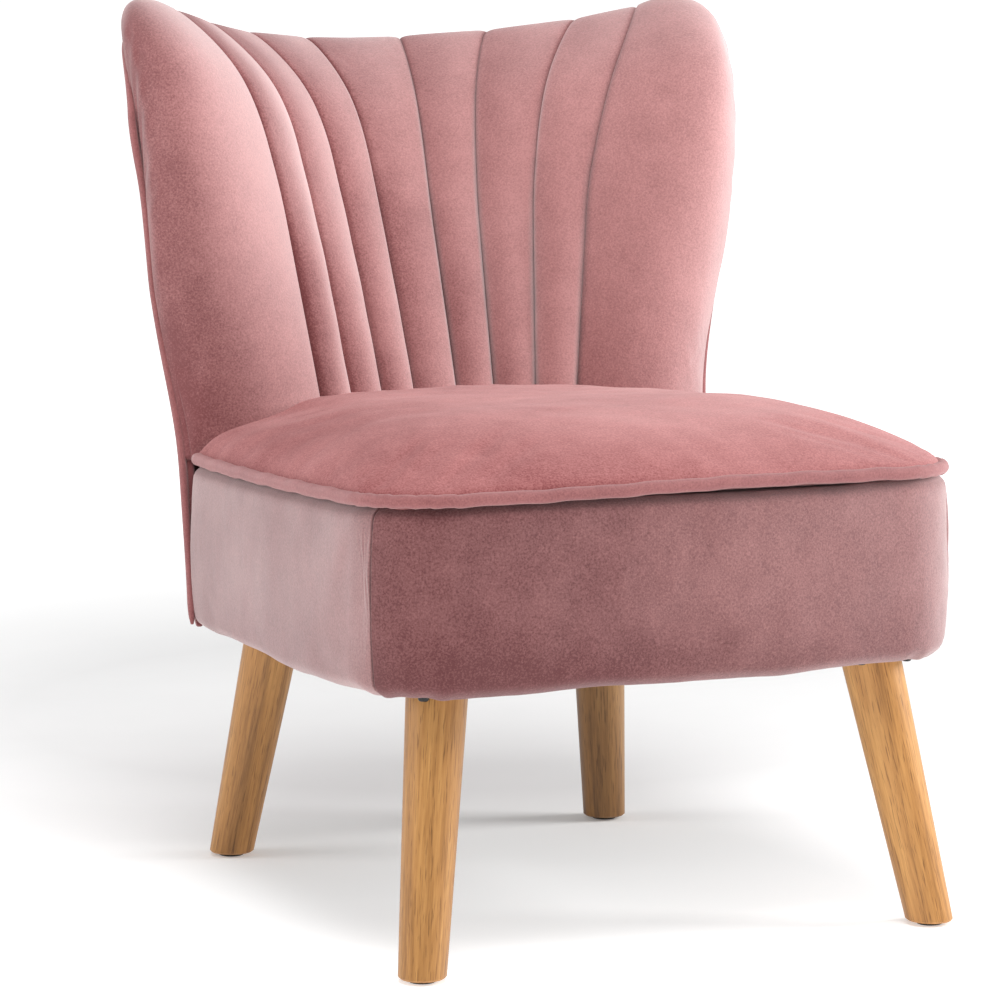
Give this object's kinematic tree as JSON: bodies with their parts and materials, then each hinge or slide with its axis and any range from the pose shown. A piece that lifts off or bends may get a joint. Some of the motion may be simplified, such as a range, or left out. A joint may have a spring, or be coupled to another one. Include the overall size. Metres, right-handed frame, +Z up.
{
  "type": "slipper chair",
  "caption": "Armless upholstered slipper chair with a channelled wing back, piped seat and splayed round wooden legs.",
  "frame": {"origin": "on the floor, in the middle of the chair's own box", "axes": "+Z up, the seat faces -Y, +X is to the right of someone who looks at the chair's front"},
  "size_m": [0.5766, 0.6753, 0.729],
  "materials": {
    "velvet": "short-pile dusty rose velvet, with the sheen and shading of its nap",
    "velvet_piping": "the same dusty rose velvet, sewn round a cord",
    "foam": "open-cell polyurethane foam",
    "webbing": "woven elastic webbing",
    "dust_cloth": "thin black non-woven cloth",
    "frame_wood": "unfinished pine and plywood",
    "leg_wood": "pale hardwood with a satin clear coat",
    "black_steel": "black coated steel",
    "zinc_steel": "zinc-plated steel",
    "black_plastic": "matt black plastic"
  },
  "bodies": {
    "chair": {"back_bottom_rail": "frame_wood", "back_foam": "foam", "back_webbing": "webbing", "back_welt": "velvet_piping", "channel_1": "velvet", "channel_2": "velvet", "channel_3": "velvet", "channel_4": "velvet", "channel_5": "velvet", "channel_6": "velvet", "channel_7": "velvet", "corner_blocks": "frame_wood", "crest_rail": "frame_wood", "dust_cover": "dust_cloth", "front_border": "velvet", "glide_insert_front_left": "zinc_steel", "glide_insert_front_right": "zinc_steel", "glide_insert_rear_left": "zinc_steel", "glide_insert_rear_right": "zinc_steel", "left_border": "velvet", "left_post": "frame_wood", "left_wing": "velvet", "left_wing_board": "frame_wood", "leg_bolt_front_left": "zinc_steel", "leg_bolt_front_right": "zinc_steel", "leg_bolt_rear_left": "zinc_steel", "leg_bolt_rear_right": "zinc_steel", "leg_front_left": "leg_wood", "leg_front_right": "leg_wood", "leg_plate_front_left": "black_steel", "leg_plate_front_right": "black_steel", "leg_plate_rear_left": "black_steel", "leg_plate_rear_right": "black_steel", "leg_rear_left": "leg_wood", "leg_rear_right": "leg_wood", "outside_back": "velvet", "plate_screws": "black_steel", "post_dowels": "frame_wood", "right_border": "velvet", "right_post": "frame_wood", "right_wing": "velvet", "right_wing_board": "frame_wood", "seat_cushion": "velvet", "seat_foam": "foam", "seat_front_rail": "frame_wood", "seat_left_rail": "frame_wood", "seat_piping": "velvet_piping", "seat_rear_rail": "frame_wood", "seat_right_rail": "frame_wood", "seat_webbing": "webbing"},
    "foot_front_left": {"glide_front_left": "black_plastic"},
    "foot_front_right": {"glide_front_right": "black_plastic"},
    "foot_rear_left": {"glide_rear_left": "black_plastic"},
    "foot_rear_right": {"glide_rear_right": "black_plastic"}
  },
  "joints": [
    {"name": "level_front_left", "type": "slide", "parent": "chair", "child": "foot_front_left", "axis": [0, 0, -1], "range_m": [0, 0.006]},
    {"name": "level_front_right", "type": "slide", "parent": "chair", "child": "foot_front_right", "axis": [0, 0, -1], "range_m": [0, 0.006]},
    {"name": "level_rear_left", "type": "slide", "parent": "chair", "child": "foot_rear_left", "axis": [0, 0, -1], "range_m": [0, 0.006]},
    {"name": "level_rear_right", "type": "slide", "parent": "chair", "child": "foot_rear_right", "axis": [0, 0, -1], "range_m": [0, 0.006]}
  ]
}
